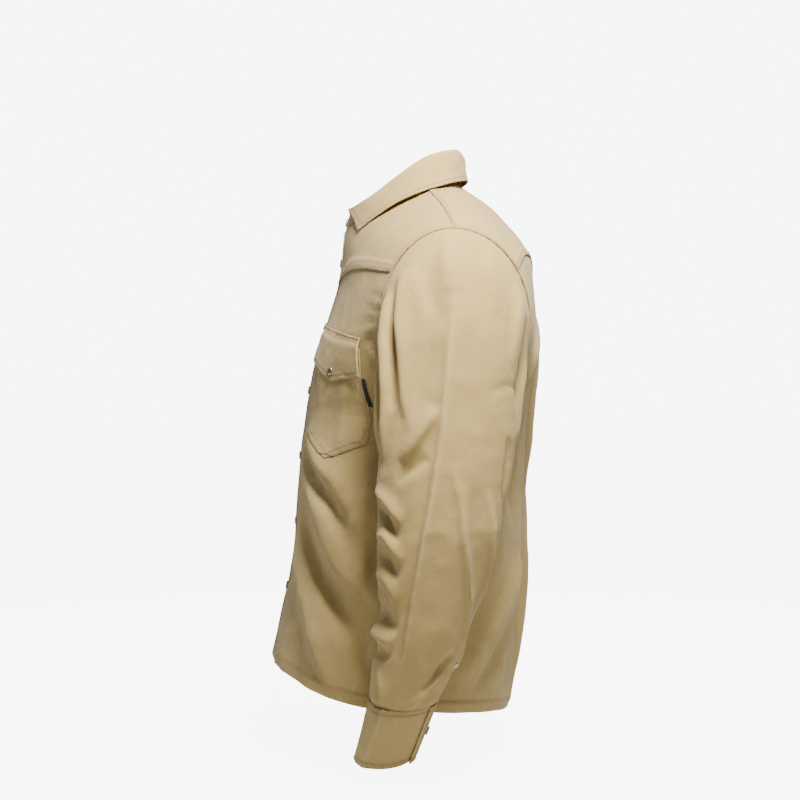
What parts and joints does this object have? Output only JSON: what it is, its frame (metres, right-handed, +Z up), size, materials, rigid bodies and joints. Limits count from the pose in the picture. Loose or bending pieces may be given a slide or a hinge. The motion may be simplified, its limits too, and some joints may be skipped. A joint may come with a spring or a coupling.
{
  "type": "welding jacket",
  "caption": "Long-sleeved cotton welding jacket with western yokes, snap front, flapped chest pockets, shirt collar and snap cuffs, shaped as worn with the arms down.",
  "frame": {"origin": "the nape: the neck seam at centre back, where the jacket's weight hangs on a neck or a hook", "axes": "+Z up, along the centre back; +X to the wearer's left; -Y to the wearer's front"},
  "size_m": [0.664, 0.3559, 0.7829],
  "materials": {
    "cloth": "khaki cotton twill, matt",
    "pocket_label": "plain black woven tape",
    "neck_label": "plain off-white woven tape",
    "snap_metal": "nickel-plated pressed metal",
    "pearl": "cream cap in a metal ring"
  },
  "bodies": {
    "torso": {"back_panel": "cloth", "back_yoke": "cloth", "front_panel_left": "cloth", "front_panel_right": "cloth", "front_yoke_left": "cloth", "front_yoke_right": "cloth", "placket_left": "cloth", "placket_right": "cloth", "collar_stand": "cloth", "collar_leaf": "cloth", "stand_snap_cap": "pearl", "stand_snap_stud": "snap_metal", "front_snap_cap_1": "snap_metal", "front_snap_cap_2": "snap_metal", "front_snap_cap_3": "snap_metal", "front_snap_cap_4": "snap_metal", "front_snap_cap_5": "snap_metal", "front_snap_cap_6": "snap_metal", "front_snap_stud_1": "snap_metal", "front_snap_stud_2": "snap_metal", "front_snap_stud_3": "snap_metal", "front_snap_stud_4": "snap_metal", "front_snap_stud_5": "snap_metal", "front_snap_stud_6": "snap_metal", "pocket_left": "cloth", "pocket_right": "cloth", "pocket_snap_stud_left": "snap_metal", "pocket_snap_stud_right": "snap_metal", "pocket_label": "pocket_label", "neck_label": "neck_label"},
    "sleeve_left_body": {"sleeve_left": "cloth", "sleeve_placket_left": "cloth", "cuff_left": "cloth", "cuff_snap_cap_left": "snap_metal", "cuff_snap_stud_left": "snap_metal", "sleeve_snap_cap_left": "snap_metal", "sleeve_snap_stud_left": "snap_metal"},
    "sleeve_right_body": {"sleeve_right": "cloth", "sleeve_placket_right": "cloth", "cuff_right": "cloth", "cuff_snap_cap_right": "snap_metal", "cuff_snap_stud_right": "snap_metal", "sleeve_snap_cap_right": "snap_metal", "sleeve_snap_stud_right": "snap_metal"},
    "flap_left_body": {"pocket_flap_left": "cloth", "pocket_snap_cap_left": "snap_metal"},
    "flap_right_body": {"pocket_flap_right": "cloth", "pocket_snap_cap_right": "snap_metal"}
  },
  "joints": [
    {"name": "sleeve_swing_left", "type": "hinge", "parent": "torso", "child": "sleeve_left_body", "pos_m": [0.2065, -0.009, -0.202], "axis": [-0.9954, 0, 0.0954], "range_deg": [-20, 50]},
    {"name": "sleeve_swing_right", "type": "hinge", "parent": "torso", "child": "sleeve_right_body", "pos_m": [-0.2065, -0.009, -0.202], "axis": [-0.9954, 0, -0.0954], "range_deg": [-20, 50]},
    {"name": "pocket_flap_left_lift", "type": "hinge", "parent": "torso", "child": "flap_left_body", "pos_m": [0.108, -0.1555, -0.2052], "axis": [-0.927, -0.341, 0.156], "range_deg": [0, 140]},
    {"name": "pocket_flap_right_lift", "type": "hinge", "parent": "torso", "child": "flap_right_body", "pos_m": [-0.108, -0.1555, -0.2052], "axis": [-0.927, 0.341, -0.156], "range_deg": [0, 140]}
  ]
}
